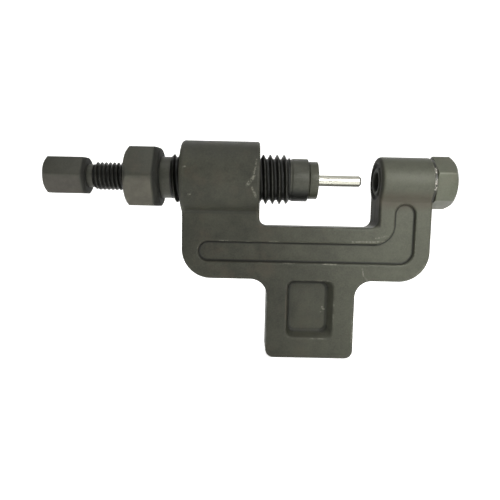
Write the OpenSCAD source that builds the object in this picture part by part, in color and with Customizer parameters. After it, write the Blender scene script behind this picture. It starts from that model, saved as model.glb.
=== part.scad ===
// Screw-type breaker for heavy roller chain: a forged C frame, a hollow pressure bolt with a
// sprung extraction pin inside it, a push bolt that drives the pin, and a hollow adjuster bolt
// that the driven-out rivet falls into.
//
// X runs along the screw axis, from the push bolt towards the adjuster. Z is up, with the clamping
// tab of the frame at the bottom. The origin is on the screw axis, at the inner face of the
// adjuster boss, in the plate's middle plane. Millimetres.

/* [Frame] */
// Thickness of the forged plate
plate_t = 13; // [11:0.5:15]
// Clear width of the throat between the two bosses
throat_w = 42.9; // [41:0.1:46]
// Depth of the throat below the screw axis
throat_depth = 16.75; // [16:0.25:22]
// Height of the bar below the throat
bar_h = 19.45; // [18:0.05:24]
// Width of the arm that carries the adjuster boss
arm_w = 19.2; // [18.8:0.1:22]
// Diameter of the pressure boss
boss_d = 27; // [25:0.5:30]
// Length of the pressure boss
boss_len = 28; // [24:0.5:30]
// Diameter of the adjuster boss
end_boss_d = 18.1; // [17.5:0.1:20]
// Width of the clamping tab
tab_w = 32.2; // [30:0.1:36]
// Length of the clamping tab below the bar
tab_len = 28.9; // [26:0.1:40]
// Depth of the lightening groove on each side
groove_depth = 1.3; // [0.5:0.1:2]
// Depth of the pocket on each side of the tab
pocket_depth = 3.5; // [2:0.25:4]

/* [Pressure bolt] */
// Major diameter of its thread
main_d = 18; // [18:0.1:18.4]
// Pitch of its thread
main_pitch = 2.5; // [2:0.25:2.5]
// Width of its hexagon across the flats
main_af = 21; // [20:0.5:24]
// Length of its hexagon
main_head_len = 12.3; // [9:0.1:12.3]
// Diameter of the plain barrel at its working end
barrel_d = 15.5; // [14.6:0.1:15.8]

/* [Pin and push bolt] */
// Diameter of the extraction pin where it meets the chain
pin_d = 4; // [3:0.1:4.2]
// Major diameter of the push bolt's thread
push_d = 10; // [9.8:0.1:10.2]
// Pitch of the push bolt's thread
push_pitch = 1.5; // [1:0.25:1.5]
// Width of the push bolt's hexagon across the flats
push_af = 13; // [12:0.5:14]
// Length of the push bolt's hexagon
push_head_len = 14.8; // [8:0.1:18]

/* [Adjuster] */
// Major diameter of the adjuster's thread
adj_d = 12; // [11.8:0.1:12.1]
// Pitch of the adjuster's thread
adj_pitch = 1.5; // [1:0.25:1.5]
// Width of the adjuster's hexagon across the flats
adj_af = 17; // [15:0.5:17]
// Length of the adjuster's hexagon
adj_head_len = 7.6; // [6:0.1:12]
// Diameter of the hole right through the adjuster
adj_hole_d = 7; // [5.5:0.1:7.4]
// Thickness of the washer under the adjuster's hexagon
washer_t = 1; // [0.8:0.1:1.5]

/* [Hidden] */
$fn = 72;
eps = 0.05;                 // gap left between two pieces that rest on each other
fit = 0.06;                 // radial running clearance of every thread and plain bearing
thread_share = 0.6134;      // depth of a 60 degree thread, as a share of its pitch
hex_land = 0.95;            // width of a hexagon's flat end face, as a share of its width across the flats
hex_chamfer_deg = 40;       // how steeply a hexagon's corners are turned off
hex_chamfer_min = 0.16;     // length of that chamfer past the corners
main_sink = 1;              // countersinks at the mouths of the three threaded bores
push_sink = 0.8;
adj_sink = 0.7;
tip_edge = 0.4;             // chamfer on the ends of the barrel, the guide and the push bolt

// Frame, along X and Z
boss_x1 = -throat_w;
boss_x0 = boss_x1 - boss_len;
web_x0 = boss_x0 + 0.4;     // the web is set in a little from the boss's outer face,
web_x1 = boss_x1 + 0.3;     // and stands a little proud of its inner face
bar_top = -throat_depth;
bar_bot = bar_top - bar_h;
tab_x1 = -7.3;
tab_x0 = tab_x1 - tab_w;
tab_bot = bar_bot - tab_len;
spot_depth = 0.6;           // machined seat for the washer
corner_left = 10;
corner_right = 11;
corner_tab = 3;
fillet_tab = 6;
fillet_throat = 2.9;
fillet_boss = 0.8;
boss_edge = 1;              // edges turned off at both ends of the pressure boss
end_boss_edge = 1.4;        // at the throat end of the adjuster boss
end_boss_seat_edge = 0.6;   // and at its washer end
end_boss_x1 = arm_w - 0.1;

// Lightening groove, as lengths along its two legs
groove_top = -22.5;
groove_bot = -30;
groove_x0 = -64.6;
leg_x0 = 5.8;
leg_x1 = 13.5;
leg_top = -7.9;
groove_inner_r = 6.9;
groove_outer_r = 5.1;

// Pocket in the tab
pocket_x0 = -32;
pocket_x1 = -15;
pocket_z0 = -57.5;
pocket_z1 = -36.4;
pocket_slope = 2.1;         // how far each side wall leans in over the depth
pocket_slope_low = 2.6;
pocket_slope_top = 1.5;

// Pressure bolt, along X
main_head_x0 = -90.8;
main_head_x1 = main_head_x0 + main_head_len;
main_thread_x0 = -74.6;
main_turns = 17;
main_thread_x1 = main_thread_x0 + main_turns * main_pitch;
barrel_x1 = -25.4;
main_min_r = main_d / 2 - thread_share * main_pitch;
push_bore_x1 = -53;         // the push bolt's thread ends here, and the spring chamber begins
chamber_r = 4.25;
guide_seat_x0 = -32;
guide_tail_r = 5.5;
snap_x0 = -29.2;
snap_w = 1.2;

// Pin guide, the swivel nose in the barrel's mouth
guide_nose_r = 6.8;
guide_nose_x1 = -21.8;
guide_hole_r = 2.55;

// Extraction pin
pin_head_r = 4;
pin_head_x0 = -57.5;
pin_head_x1 = -54.5;
pin_shank_r = guide_hole_r - eps;
pin_step_x = guide_nose_x1 + 0.08;
pin_taper_x = -6.25;
pin_tip_x = -5.6;
pin_tip_r = 1.35;

// Return spring
spring_wire_r = 0.45;
spring_mean_r = 3.55;
spring_x0 = pin_head_x1 + 0.1;
spring_x1 = guide_seat_x0 - 0.1;
spring_turns = 7;
spring_sides = 6;
spring_steps = 16;

// Push bolt
push_head_x1 = -105.3;
push_head_x0 = push_head_x1 - push_head_len;
push_thread_x0 = -103;
push_turns = 23;
push_thread_x1 = push_thread_x0 + push_turns * push_pitch;
push_min_r = push_d / 2 - thread_share * push_pitch;
dog_r = 4;

// Adjuster
seat_x = end_boss_x1 - spot_depth;
washer_r = 8.75;
washer_hole_r = adj_d / 2 + 0.3;
adj_head_x0 = seat_x + eps + washer_t + eps;
adj_head_x1 = adj_head_x0 + adj_head_len;
adj_turns = 11;
adj_thread_x0 = 1;
adj_thread_x1 = adj_thread_x0 + adj_turns * adj_pitch;
adj_min_r = adj_d / 2 - thread_share * adj_pitch;
adj_hex_turn = 20;          // one corner of its hexagon stands this far above the horizontal

steel_dark = [0.30, 0.30, 0.26];
steel_black = [0.16, 0.16, 0.15];
steel_bright = [0.78, 0.77, 0.72];

// Turns a shape drawn around Z so that its axis lies along X, starting at x
module along_x(x = 0) { translate([x, 0, 0]) rotate([0, 90, 0]) children(); }

// A plain shaft or bore from x0 to x1
module rod(x0, x1, r) { along_x(x0) cylinder(h = x1 - x0, r = r); }

// A cone from radius ra at x0 to radius rb at x1
module taper(x0, x1, ra, rb) { along_x(x0) cylinder(h = x1 - x0, r1 = ra, r2 = rb); }

// One ridge of a 60 degree thread, as radius and distance along the axis
function ridge(z, p, r_out, r_in) =
    [[r_in, z], [r_in, z + p / 8], [r_out, z + p * 7 / 16], [r_out, z + p * 9 / 16], [r_in, z + p * 7 / 8]];

// A threaded length made of ring-shaped ridges, with a root cylinder under them
module ridged(x0, turns, p, r_out, r_in)
    along_x(x0) rotate_extrude()
        polygon(concat([[0, 0]], [for (i = [0 : turns - 1]) each ridge(i * p, p, r_out, r_in)],
                       [[r_in, turns * p], [0, turns * p]]));

// A hexagon bar from x0 to x1 with its corners turned off, at both ends or at the high end alone
module hex_head(x0, x1, af, turn = 0, low_end = true) {
    corner_r = af / sqrt(3);
    land_r = af / 2 * hex_land;
    slope = (corner_r - land_r) * tan(hex_chamfer_deg) + hex_chamfer_min;
    over = corner_r + 0.2;
    low = low_end ? [[0, 0], [land_r, 0], [over, slope]] : [[0, 0], [over, 0]];
    intersection() {
        along_x(x0) rotate(30 - turn) cylinder(h = x1 - x0, r = corner_r, $fn = 6);
        along_x(x0) rotate_extrude()
            polygon(concat(low, [[over, x1 - x0 - slope], [land_r, x1 - x0], [0, x1 - x0]]));
    }
}

// The waste between a square corner at the origin and an arc of radius r that touches both legs;
// dx and dy say which way the legs run from the corner
module corner(x, y, dx, dy, r)
    translate([x, y]) scale_sign(dx, dy) difference() {
        translate([-0.01, -0.01]) square(r + 0.01);
        translate([r, r]) circle(r = r);
    }
module scale_sign(dx, dy) { mirror([dx < 0 ? 1 : 0, 0]) mirror([0, dy < 0 ? 1 : 0]) children(); }

// Outline of the plate, drawn in X and Z
module plate_outline() {
    difference() {
        union() {
            translate([web_x0, bar_bot]) square([arm_w - web_x0, bar_h]);
            translate([web_x0, bar_bot]) square([web_x1 - web_x0, -bar_bot]);
            translate([0, bar_bot]) square([arm_w, -bar_bot]);
            translate([tab_x0, tab_bot]) square([tab_w, tab_len + 1]);
        }
        corner(web_x0, bar_bot, 1, 1, corner_left);
        corner(arm_w, bar_bot, -1, 1, corner_right);
        corner(tab_x0, tab_bot, 1, 1, corner_tab);
        corner(tab_x1, tab_bot, -1, 1, corner_tab);
    }
    corner(tab_x0, bar_bot, -1, -1, fillet_tab);
    corner(tab_x1, bar_bot, 1, -1, fillet_tab);
    corner(web_x1, bar_top, 1, 1, fillet_throat);
    corner(0, bar_top, -1, 1, fillet_throat);
}

// Shallow L-shaped groove that runs along the bar and up the arm
module groove_outline() {
    half = (groove_top - groove_bot) / 2;
    leg_half = (leg_x1 - leg_x0) / 2;
    difference() {
        union() {
            translate([groove_x0 + half, groove_bot]) square([leg_x1 - groove_x0 - half, 2 * half]);
            translate([groove_x0 + half, groove_bot + half]) circle(r = half);
            translate([leg_x0, groove_bot]) square([2 * leg_half, leg_top - leg_half - groove_bot]);
            translate([leg_x0 + leg_half, leg_top - leg_half]) circle(r = leg_half);
        }
        corner(leg_x1, groove_bot, -1, 1, groove_outer_r);
    }
    corner(leg_x0, groove_top, -1, 1, groove_inner_r);
}

// Pocket with leaning walls, cut into the face on the -Y side
module pocket() {
    h = plate_t / 2;
    f = h - pocket_depth;
    out = 0.01;
    intersection() {
        // seen from below: the left and right walls
        translate([0, 0, pocket_z0 - 5]) linear_extrude(pocket_z1 - pocket_z0 + 10)
            polygon([[pocket_x0 - out, -h - 0.02], [pocket_x1 + out, -h - 0.02],
                     [pocket_x1 - pocket_slope, -f], [pocket_x0 + pocket_slope, -f]]);
        // seen from the side: the upper and lower walls
        translate([pocket_x0 - 5, 0, 0]) rotate([90, 0, 90]) linear_extrude(pocket_x1 - pocket_x0 + 10)
            polygon([[-h - 0.02, pocket_z0 - out], [-f, pocket_z0 + pocket_slope_low],
                     [-f, pocket_z1 - pocket_slope_top], [-h - 0.02, pocket_z1 + out]]);
    }
}

// Fillets where a boss of radius r grows out of the plate, drawn in Y and Z for one side
module boss_fillet(r) {
    h = plate_t / 2;
    cy = h + fillet_boss;
    cz = -sqrt(pow(r + fillet_boss, 2) - cy * cy);
    k = r / (r + fillet_boss);
    difference() {
        polygon([[0, 0], [cy * k, cz * k], [cy, cz], [h, cz], [h - 1, cz], [0, cz]]);
        translate([cy, cz]) circle(r = fillet_boss);
    }
}
module boss_fillets(x0, x1, r)
    for (s = [0, 1]) mirror([0, s, 0])
        translate([x0, 0, 0]) rotate([90, 0, 90]) linear_extrude(x1 - x0) boss_fillet(r);

// A boss with its end edges turned off, by edge0 at x0 and by edge1 at x1
module boss(x0, x1, r, edge0, edge1) {
    len = x1 - x0;
    along_x(x0) rotate_extrude()
        polygon([[0, 0], [r - edge0, 0], [r - edge0 * 0.3, edge0 * 0.3], [r, edge0],
                 [r, len - edge1], [r - edge1 * 0.3, len - edge1 * 0.3], [r - edge1, len], [0, len]]);
}

module frame() {
    r = boss_d / 2;
    re = end_boss_d / 2;
    color(steel_dark) difference() {
        union() {
            translate([0, plate_t / 2, 0]) rotate([90, 0, 0]) linear_extrude(plate_t) plate_outline();
            boss(boss_x0, boss_x1, r, boss_edge, boss_edge);
            boss_fillets(web_x0, boss_x1 - 0.1, r);
            boss(0, end_boss_x1, re, end_boss_edge, end_boss_seat_edge);
            boss_fillets(end_boss_edge, end_boss_x1 - 0.4, re);
        }
        for (s = [0, 1]) mirror([0, s, 0]) {
            translate([0, -plate_t / 2 + groove_depth, 0]) rotate([90, 0, 0])
                linear_extrude(groove_depth + 1) groove_outline();
            pocket();
        }
        rod(boss_x0 - 1, boss_x1 + 1, main_d / 2 + fit);
        taper(boss_x0 - 0.01, boss_x0 + main_sink, main_d / 2 + main_sink, main_d / 2);
        taper(boss_x1 - main_sink, boss_x1 + 0.01, main_d / 2, main_d / 2 + main_sink);
        rod(-1, arm_w + 1, adj_d / 2 + fit);
        taper(-0.01, adj_sink, adj_d / 2 + adj_sink + fit, adj_d / 2);
        rod(seat_x, arm_w + 2, re + 0.5);
    }
}

module pressure_bolt() {
    color(steel_black) difference() {
        union() {
            hex_head(main_head_x0, main_head_x1, main_af);
            rod(main_head_x1 - 0.1, main_thread_x0 + 0.1, main_min_r + 0.05);
            ridged(main_thread_x0, main_turns, main_pitch, main_d / 2, main_min_r);
            rod(main_thread_x1 - 0.1, barrel_x1 - tip_edge, barrel_d / 2);
            taper(barrel_x1 - tip_edge, barrel_x1, barrel_d / 2, barrel_d / 2 - tip_edge);
        }
        rod(main_head_x0 - 1, push_bore_x1, push_d / 2 + fit);
        taper(main_head_x0 - 0.01, main_head_x0 + push_sink, push_d / 2 + push_sink, push_d / 2);
        rod(push_bore_x1 - 1, barrel_x1 - 3, chamber_r);
        rod(guide_seat_x0 - eps, barrel_x1 + 1, guide_tail_r + fit);
        rod(snap_x0 - eps, snap_x0 + snap_w + eps, guide_tail_r + 0.6);
    }
}

module pin_guide() {
    color(steel_dark) difference() {
        union() {
            rod(guide_seat_x0, barrel_x1 + 0.2, guide_tail_r);
            rod(barrel_x1 + eps, guide_nose_x1 - tip_edge, guide_nose_r);
            taper(guide_nose_x1 - tip_edge, guide_nose_x1, guide_nose_r, guide_nose_r - tip_edge);
        }
        rod(guide_seat_x0 - 1, guide_nose_x1 + 1, guide_hole_r);
        difference() {
            rod(snap_x0 - eps, snap_x0 + snap_w + eps, guide_tail_r + 1);
            rod(snap_x0 - 1, snap_x0 + snap_w + 1, guide_tail_r - 0.6);
        }
    }
}

module guide_snap_ring() {
    color(steel_bright) difference() {
        rod(snap_x0, snap_x0 + snap_w, guide_tail_r + 0.5);
        rod(snap_x0 - 1, snap_x0 + snap_w + 1, guide_tail_r - 0.55);
        translate([snap_x0 - 1, -1.2, 0]) cube([snap_w + 2, 2.4, guide_tail_r + 3]);
    }
}

module extraction_pin() {
    color(steel_bright) {
        union() {
            rod(pin_head_x0, pin_head_x1, pin_head_r);
            rod(pin_head_x1 - 0.1, pin_step_x, pin_shank_r);
            rod(pin_step_x - 0.1, pin_taper_x, pin_d / 2);
            taper(pin_taper_x, pin_tip_x, pin_d / 2, pin_tip_r);
        }
    }
}

// Round wire wound on a right-hand helix from x0 to x1
module coil(x0, x1, r, wire, turns) {
    n = turns * spring_steps;
    lo = x0 + wire;
    rise = x1 - x0 - 2 * wire;
    pts = [for (i = [0 : n]) let (a = 360 * i / spring_steps, x = lo + rise * i / n)
           for (j = [0 : spring_sides - 1]) let (b = 360 * j / spring_sides, q = r + wire * cos(b))
           [x + wire * sin(b), -q * cos(a), -q * sin(a)]];
    last = n * spring_sides;
    faces = concat(
        [[for (j = [0 : spring_sides - 1]) j]],
        [for (i = [0 : n - 1]) for (j = [0 : spring_sides - 1])
            let (a = i * spring_sides + j, b = i * spring_sides + (j + 1) % spring_sides)
            [a, a + spring_sides, b + spring_sides, b]],
        [[for (j = [spring_sides - 1 : -1 : 0]) last + j]]);
    polyhedron(points = pts, faces = faces, convexity = 10);
}

module return_spring() {
    color(steel_bright) coil(spring_x0, spring_x1, spring_mean_r, spring_wire_r, spring_turns);
}

module push_bolt() {
    color(steel_dark) {
        union() {
            hex_head(push_head_x0, push_head_x1, push_af);
            rod(push_head_x1 - 0.1, push_thread_x0 + 0.1, push_min_r + 0.1);
            ridged(push_thread_x0, push_turns, push_pitch, push_d / 2, push_min_r);
            rod(push_thread_x1 - 0.1, pin_head_x0 - eps - tip_edge, dog_r);
            taper(pin_head_x0 - eps - tip_edge, pin_head_x0 - eps, dog_r, dog_r - tip_edge);
        }
    }
}

module adjuster_bolt() {
    color(steel_dark) difference() {
        union() {
            hex_head(adj_head_x0, adj_head_x1, adj_af, adj_hex_turn, false);
            rod(adj_thread_x1 - 0.1, adj_head_x0 + 0.1, adj_min_r + 0.05);
            ridged(adj_thread_x0, adj_turns, adj_pitch, adj_d / 2, adj_min_r);
            taper(0, adj_thread_x0 + 0.1, adj_min_r - 0.4, adj_min_r);
        }
        rod(-1, adj_head_x1 + 1, adj_hole_d / 2);
    }
}

module adjuster_washer() {
    color(steel_bright) difference() {
        rod(seat_x + eps, seat_x + eps + washer_t, washer_r);
        rod(seat_x - 1, seat_x + washer_t + 2, washer_hole_r);
    }
}

frame();
pressure_bolt();
pin_guide();
guide_snap_ring();
extraction_pin();
return_spring();
push_bolt();
adjuster_bolt();
adjuster_washer();
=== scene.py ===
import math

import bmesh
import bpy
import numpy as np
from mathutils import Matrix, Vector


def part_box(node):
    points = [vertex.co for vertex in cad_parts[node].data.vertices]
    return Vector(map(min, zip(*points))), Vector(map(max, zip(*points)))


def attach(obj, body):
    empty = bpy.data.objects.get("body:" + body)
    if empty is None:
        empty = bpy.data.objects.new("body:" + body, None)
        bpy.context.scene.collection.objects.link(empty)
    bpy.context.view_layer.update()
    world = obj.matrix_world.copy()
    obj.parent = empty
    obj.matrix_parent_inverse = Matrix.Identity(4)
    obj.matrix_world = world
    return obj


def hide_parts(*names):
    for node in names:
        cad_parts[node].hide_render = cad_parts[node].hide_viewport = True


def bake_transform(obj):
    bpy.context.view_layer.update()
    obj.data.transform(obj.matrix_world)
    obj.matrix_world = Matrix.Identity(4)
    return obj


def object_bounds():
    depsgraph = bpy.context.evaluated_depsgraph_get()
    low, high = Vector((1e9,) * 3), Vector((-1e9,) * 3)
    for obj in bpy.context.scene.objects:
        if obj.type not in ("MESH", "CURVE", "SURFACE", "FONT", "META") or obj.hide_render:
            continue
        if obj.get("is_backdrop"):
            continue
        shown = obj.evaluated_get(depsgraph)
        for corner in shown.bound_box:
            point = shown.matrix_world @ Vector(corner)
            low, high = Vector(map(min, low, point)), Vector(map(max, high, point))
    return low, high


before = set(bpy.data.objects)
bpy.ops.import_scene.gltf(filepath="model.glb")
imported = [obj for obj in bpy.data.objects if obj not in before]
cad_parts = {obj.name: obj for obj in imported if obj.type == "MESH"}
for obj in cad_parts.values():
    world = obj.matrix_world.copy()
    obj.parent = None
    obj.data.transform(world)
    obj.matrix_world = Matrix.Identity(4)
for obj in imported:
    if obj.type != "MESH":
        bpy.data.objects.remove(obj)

# %% [markdown]
# # A screw-type chain breaker
#
# The tool is a forged steel C frame with three screws on one axis. The hollow pressure bolt clamps a
# roller chain, the push bolt inside it drives a hardened pin through one rivet, and the hollow
# adjuster bolt on the far arm backs the chain up and catches the rivet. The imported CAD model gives
# every size and place. This lesson builds the pieces as they look: a forging with soft edges, true
# spiral threads, turned and ground surfaces, and the worn black finish of a workshop tool.
#
# All lengths below are written in millimetres, as a maker would, and multiplied by MM.

MM = 0.001
WELD = 2e-6                     # points closer than this, in metres, become one
cad_box = [[float(n) for n in corner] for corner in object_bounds()]
node_box = {name: tuple(np.array(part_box(name)) / MM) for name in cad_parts}
for name, (low, high) in sorted(node_box.items()):
    print(f"{name:16s} {np.round(low, 2)} .. {np.round(high, 2)} mm")

# %% [markdown]
# ## The camera
#
# The camera is placed by its real numbers: where it stands, which way it looks, and its focal
# length. Its matrix holds its own right, up and backward directions as columns, and its place as
# the last one. The lamps are placed by the same helper.

# %% Camera
CAMERA_PLACE = np.array([-46.804, -176.456, -9.655])
CAMERA_TURN, CAMERA_DIP, CAMERA_ROLL = -0.006, 0.09317, 0.02164
SENSOR_WIDTH = 36
FOCAL_SHARE = 0.9505            # focal length as a share of the sensor's width
NEAREST, FARTHEST = 0.005, 20   # what is drawn lies between these, in metres


def camera_axes(turn, dip, roll):
    """Right, up and forward directions of a camera that looks along +Y before it is turned."""
    c, s = math.cos(turn), math.sin(turn)
    right, forward, up = np.array([c, s, 0]), np.array([-s, c, 0]), np.array([0, 0, 1.0])
    c, s = math.cos(dip), math.sin(dip)
    up, forward = c * up + s * forward, c * forward - s * up
    c, s = math.cos(roll), math.sin(roll)
    return c * right + s * up, c * up - s * right, forward


def standing(across, rise, back, place):
    """The matrix of an object with these own axes at this place, in metres."""
    return Matrix([[across[i], rise[i], back[i], place[i]] for i in range(3)] + [[0, 0, 0, 1]])


right, up, forward = camera_axes(CAMERA_TURN, CAMERA_DIP, CAMERA_ROLL)
lens = bpy.data.cameras.new("camera")
lens.sensor_width = SENSOR_WIDTH
lens.lens = SENSOR_WIDTH * FOCAL_SHARE
lens.clip_start, lens.clip_end = NEAREST, FARTHEST
camera = bpy.data.objects.new("camera", lens)
bpy.context.scene.collection.objects.link(camera)
camera.matrix_world = standing(right, up, -forward, CAMERA_PLACE * MM)
bpy.context.scene.camera = camera
bpy.context.scene.view_settings.view_transform = "Standard"
print("camera lens", round(lens.lens, 2), "mm")

# %% [markdown]
# ## Node trees written as formulas
#
# Both materials and Geometry Nodes are built from small maths nodes. Wired by hand they are hard to
# read, so one small class wraps an output socket and turns +, -, * and / into Math nodes, and one
# method makes any other node from its type, its settings and the values of its sockets.


# %% A socket that can be used in a formula
class Value:
    def __init__(self, sheet, socket):
        self.sheet, self.socket = sheet, socket

    def __add__(self, other):
        return self.sheet.maths("ADD", self, other)

    __radd__ = __add__

    def __sub__(self, other):
        return self.sheet.maths("SUBTRACT", self, other)

    def __rsub__(self, other):
        return self.sheet.maths("SUBTRACT", other, self)

    def __mul__(self, other):
        return self.sheet.maths("MULTIPLY", self, other)

    __rmul__ = __mul__

    def __truediv__(self, other):
        return self.sheet.maths("DIVIDE", self, other)

    def least(self, other):
        return self.sheet.maths("MINIMUM", self, other)

    def most(self, other):
        return self.sheet.maths("MAXIMUM", self, other)

    def clamp(self):
        return self.most(0.0).least(1.0)

    def size(self):
        return self.sheet.maths("ABSOLUTE", self)

    def step(self, low, high):
        """0 below low, 1 above high, and smooth between them."""
        t = ((self - low) / (high - low)).clamp()
        return t * t * (3.0 - 2.0 * t)

    def within(self, rise, fall):
        """1 inside and 0 outside, smooth over the two (from, to) spans rise and fall."""
        return self.step(*rise) * (1.0 - self.step(*fall))


class Sheet:
    """A node tree that formulas are written on."""

    def __init__(self, tree):
        self.tree = tree

    def feed(self, socket, value):
        """Links the result of a formula to a socket, or sets a plain value on it."""
        if isinstance(value, Value):
            self.tree.links.new(value.socket, socket)
        else:
            socket.default_value = value

    def node(self, kind, settings, *values, out=0, **named):
        """A node of any kind. Values are given by place, or by the socket's name with _ for a space."""
        made = self.tree.nodes.new(kind)
        for key, setting in settings.items():
            setattr(made, key, setting)
        for key, value in list(enumerate(values)) + list(named.items()):
            self.feed(made.inputs[key if isinstance(key, int) else key.replace("_", " ")], value)
        return Value(self, made.outputs[out])

    def maths(self, operation, *values):
        return self.node("ShaderNodeMath", {"operation": operation}, *values)

    def xyz(self, vector):
        """The three parts of a vector."""
        return [self.node("ShaderNodeSeparateXYZ", {}, vector, out=n) for n in range(3)]

    def mix(self, share, first, second):
        """A colour between first and second, by share."""
        made = self.tree.nodes.new("ShaderNodeMix")
        made.data_type = "RGBA"
        for number, value in ((0, share), (6, first), (7, second)):     # 6 and 7 are its colour inputs
            self.feed(made.inputs[number], value)
        return Value(self, made.outputs[2])


print("formula helpers ready")

# %% [markdown]
# ## Turned pieces
#
# A lathe makes a round piece by moving a tool along a profile. The helper does the same: it takes the
# profile as (distance along the axis, radius) points, rounds each corner a little because no real
# edge is knife-sharp, and spins it round the screw axis. The radius may depend on the angle, which
# also gives hexagons: across the flats the radius is smallest, and a turned chamfer cuts the corners.

# %% Lathe helpers
HEX_LAND = 0.95                 # radius of a hexagon's end face, as a share of half its width
HEX_CHAMFER = math.tan(math.radians(40))
HEX_EDGE = 0.25
HEX_MOUTH_LOW, HEX_MOUTH_HIGH = 0.8, 0.4    # chamfers of a bore that runs through a hexagon
CORNER_POWER = 50               # the higher, the sharper a hexagon's corners


def soften(profile, radius, steps=3):
    """The profile with a short curve in place of every corner between its two ends."""
    points = [np.array(p, float) for p in profile]
    out = [points[0]]
    for before, here, after in zip(points, points[1:], points[2:]):
        a, b = before - here, after - here
        la, lb = np.linalg.norm(a), np.linalg.norm(b)
        cut = min(radius, 0.45 * la, 0.45 * lb)
        start, end = here + a / max(la, 1e-9) * cut, here + b / max(lb, 1e-9) * cut
        for t in np.linspace(0, 1, steps + 1):
            out.append((1 - t) ** 2 * start + 2 * t * (1 - t) * here + t * t * end)
    out.append(points[-1])
    return out


def spin(profile_at, sides=96):
    """Points and faces of a profile spun round the X axis. Its ends lie on the axis, or meet."""
    angles = [2 * math.pi * k / sides for k in range(sides)]
    rings = [profile_at(a) for a in angles]
    count = len(rings[0])
    points = [(x * MM, r * math.cos(a) * MM, r * math.sin(a) * MM)
              for a, ring in zip(angles, rings) for x, r in ring]
    faces = []
    for k in range(sides):
        n = (k + 1) % sides
        for i in range(count - 1):
            faces.append((k * count + i, n * count + i, n * count + i + 1, k * count + i + 1))
    return points, faces


def lathe(profile, edge, sides=96):
    """A round piece with one profile all the way round."""
    shape = soften(profile, edge)
    return spin(lambda angle: shape, sides)


def rod(x_low, x_high, radius, bore=0.0, edge=0.1, sides=96):
    """A plain round length, solid or bored."""
    outline = [(x_low, bore), (x_low, radius), (x_high, radius), (x_high, bore)]
    return lathe(outline + outline[:1] if bore else outline, edge, sides)


def hexagon(x_low, x_high, across, bore=0.0, chamfer_low=True, turn=0.0, sides=144):
    """A hexagon head. turn is the angle, in degrees, of one corner above the -Y direction."""
    half, land = across / 2, across / 2 * HEX_LAND
    flats = [math.radians(180 - turn + 30 + 60 * k) for k in range(6)]

    def profile_at(angle):
        nearness = sum(max(0.0, math.cos(angle - f)) ** CORNER_POWER for f in flats)
        reach = half * nearness ** (-1 / CORNER_POWER)
        drop = (reach - land) * HEX_CHAMFER
        low = [(x_low, land), (x_low + drop, reach)] if chamfer_low else [(x_low, reach)]
        high = [(x_high - drop, reach), (x_high, land)]
        if bore:
            start = (x_low + HEX_MOUTH_LOW, bore)
            mouth = [(x_high, bore + HEX_MOUTH_HIGH), (x_high - HEX_MOUTH_HIGH, bore)]
            ring = [start, (x_low, bore + HEX_MOUTH_LOW)] + low + high + mouth + [start]
        else:
            ring = [(x_low, 0)] + low + high + [(x_high, 0)]
        return soften(ring, HEX_EDGE)

    return spin(profile_at, sides)


def mesh_piece(name, shells, smooth_angle=35):
    """One object from several closed shells of (points, faces)."""
    points, faces = [], []
    for shell_points, shell_faces in shells:
        start = len(points)
        points += list(shell_points)
        faces += [tuple(start + i for i in face) for face in shell_faces]
    mesh = bpy.data.meshes.new(name)
    mesh.from_pydata(points, [], faces)
    return finish_mesh(name, mesh, smooth_angle)


def finish_mesh(name, mesh, smooth_angle=35):
    """Welds doubles, points the faces outwards, shades smooth with crisp edges, and makes the object."""
    work = bmesh.new()
    work.from_mesh(mesh)
    bmesh.ops.remove_doubles(work, verts=work.verts, dist=WELD)
    bmesh.ops.dissolve_degenerate(work, edges=work.edges, dist=1e-7)
    bmesh.ops.recalc_face_normals(work, faces=work.faces)
    work.to_mesh(mesh)
    work.free()
    mesh.shade_smooth()
    mesh.set_sharp_from_angle(angle=math.radians(smooth_angle))
    piece = bpy.data.objects.new(name, mesh)
    bpy.context.scene.collection.objects.link(piece)
    return piece


print("lathe helpers ready")

# %% [markdown]
# ## Screw threads with Geometry Nodes
#
# A thread is one groove that winds round a rod, so it follows a rule: the radius depends only on how
# far along the pitch a point is, counted from the angle it stands at. The tree below starts from a
# flat grid, slants its rows so that they run along the helix, and wraps it round the X axis. Rows at
# every sixteenth of the pitch fall exactly on the corners of the standard profile, so crests stay
# crisp with few faces. Rows past the ends fold onto the end planes and are welded away.

# %% The thread tree
ROWS_PER_TURN = 16
THREAD_DEPTH = 0.6134           # of an outside thread, as a share of its pitch
FLANK_END, FLANK = 6 / 16, 5 / 16   # distance of the flank's foot from the crest's middle, and its run
WHOLE_TURNS = 64.0              # keeps the value above zero before its fraction is taken
SHARP = (-0.01, 0.01)           # a step between one row and the next
THREAD_SIZES = ("Crest Radius", "Root Radius", "Bore Radius", "Pitch", "Start", "End", "Phase",
                "Lead In", "Lead Out")


def begin_tree(name, sizes, counts=()):
    """A Geometry Nodes tree with named inputs: its sheet, and the inputs as values to calculate with."""
    tree = bpy.data.node_groups.new(name, "GeometryNodeTree")
    tree.interface.new_socket("Geometry", in_out="INPUT", socket_type="NodeSocketGeometry")
    for label in sizes:
        tree.interface.new_socket(label, in_out="INPUT", socket_type="NodeSocketFloat")
    for label in counts:
        tree.interface.new_socket(label, in_out="INPUT", socket_type="NodeSocketInt")
    tree.interface.new_socket("Finish", in_out="INPUT", socket_type="NodeSocketMaterial")
    tree.interface.new_socket("Geometry", in_out="OUTPUT", socket_type="NodeSocketGeometry")
    sheet = Sheet(tree)
    given = tree.nodes.new("NodeGroupInput")
    return sheet, [Value(sheet, given.outputs[label]) for label in (*sizes, *counts, "Finish")]


def end_tree(sheet, shape, finish):
    """The tree's last nodes: real geometry, with a material."""
    real = sheet.node("GeometryNodeRealizeInstances", {}, Geometry=shape)
    coated = sheet.node("GeometryNodeSetMaterial", {}, Geometry=real, Material=finish)
    result = sheet.tree.nodes.new("NodeGroupOutput")
    sheet.tree.links.new(coated.socket, result.inputs[0])
    return sheet.tree


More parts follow.
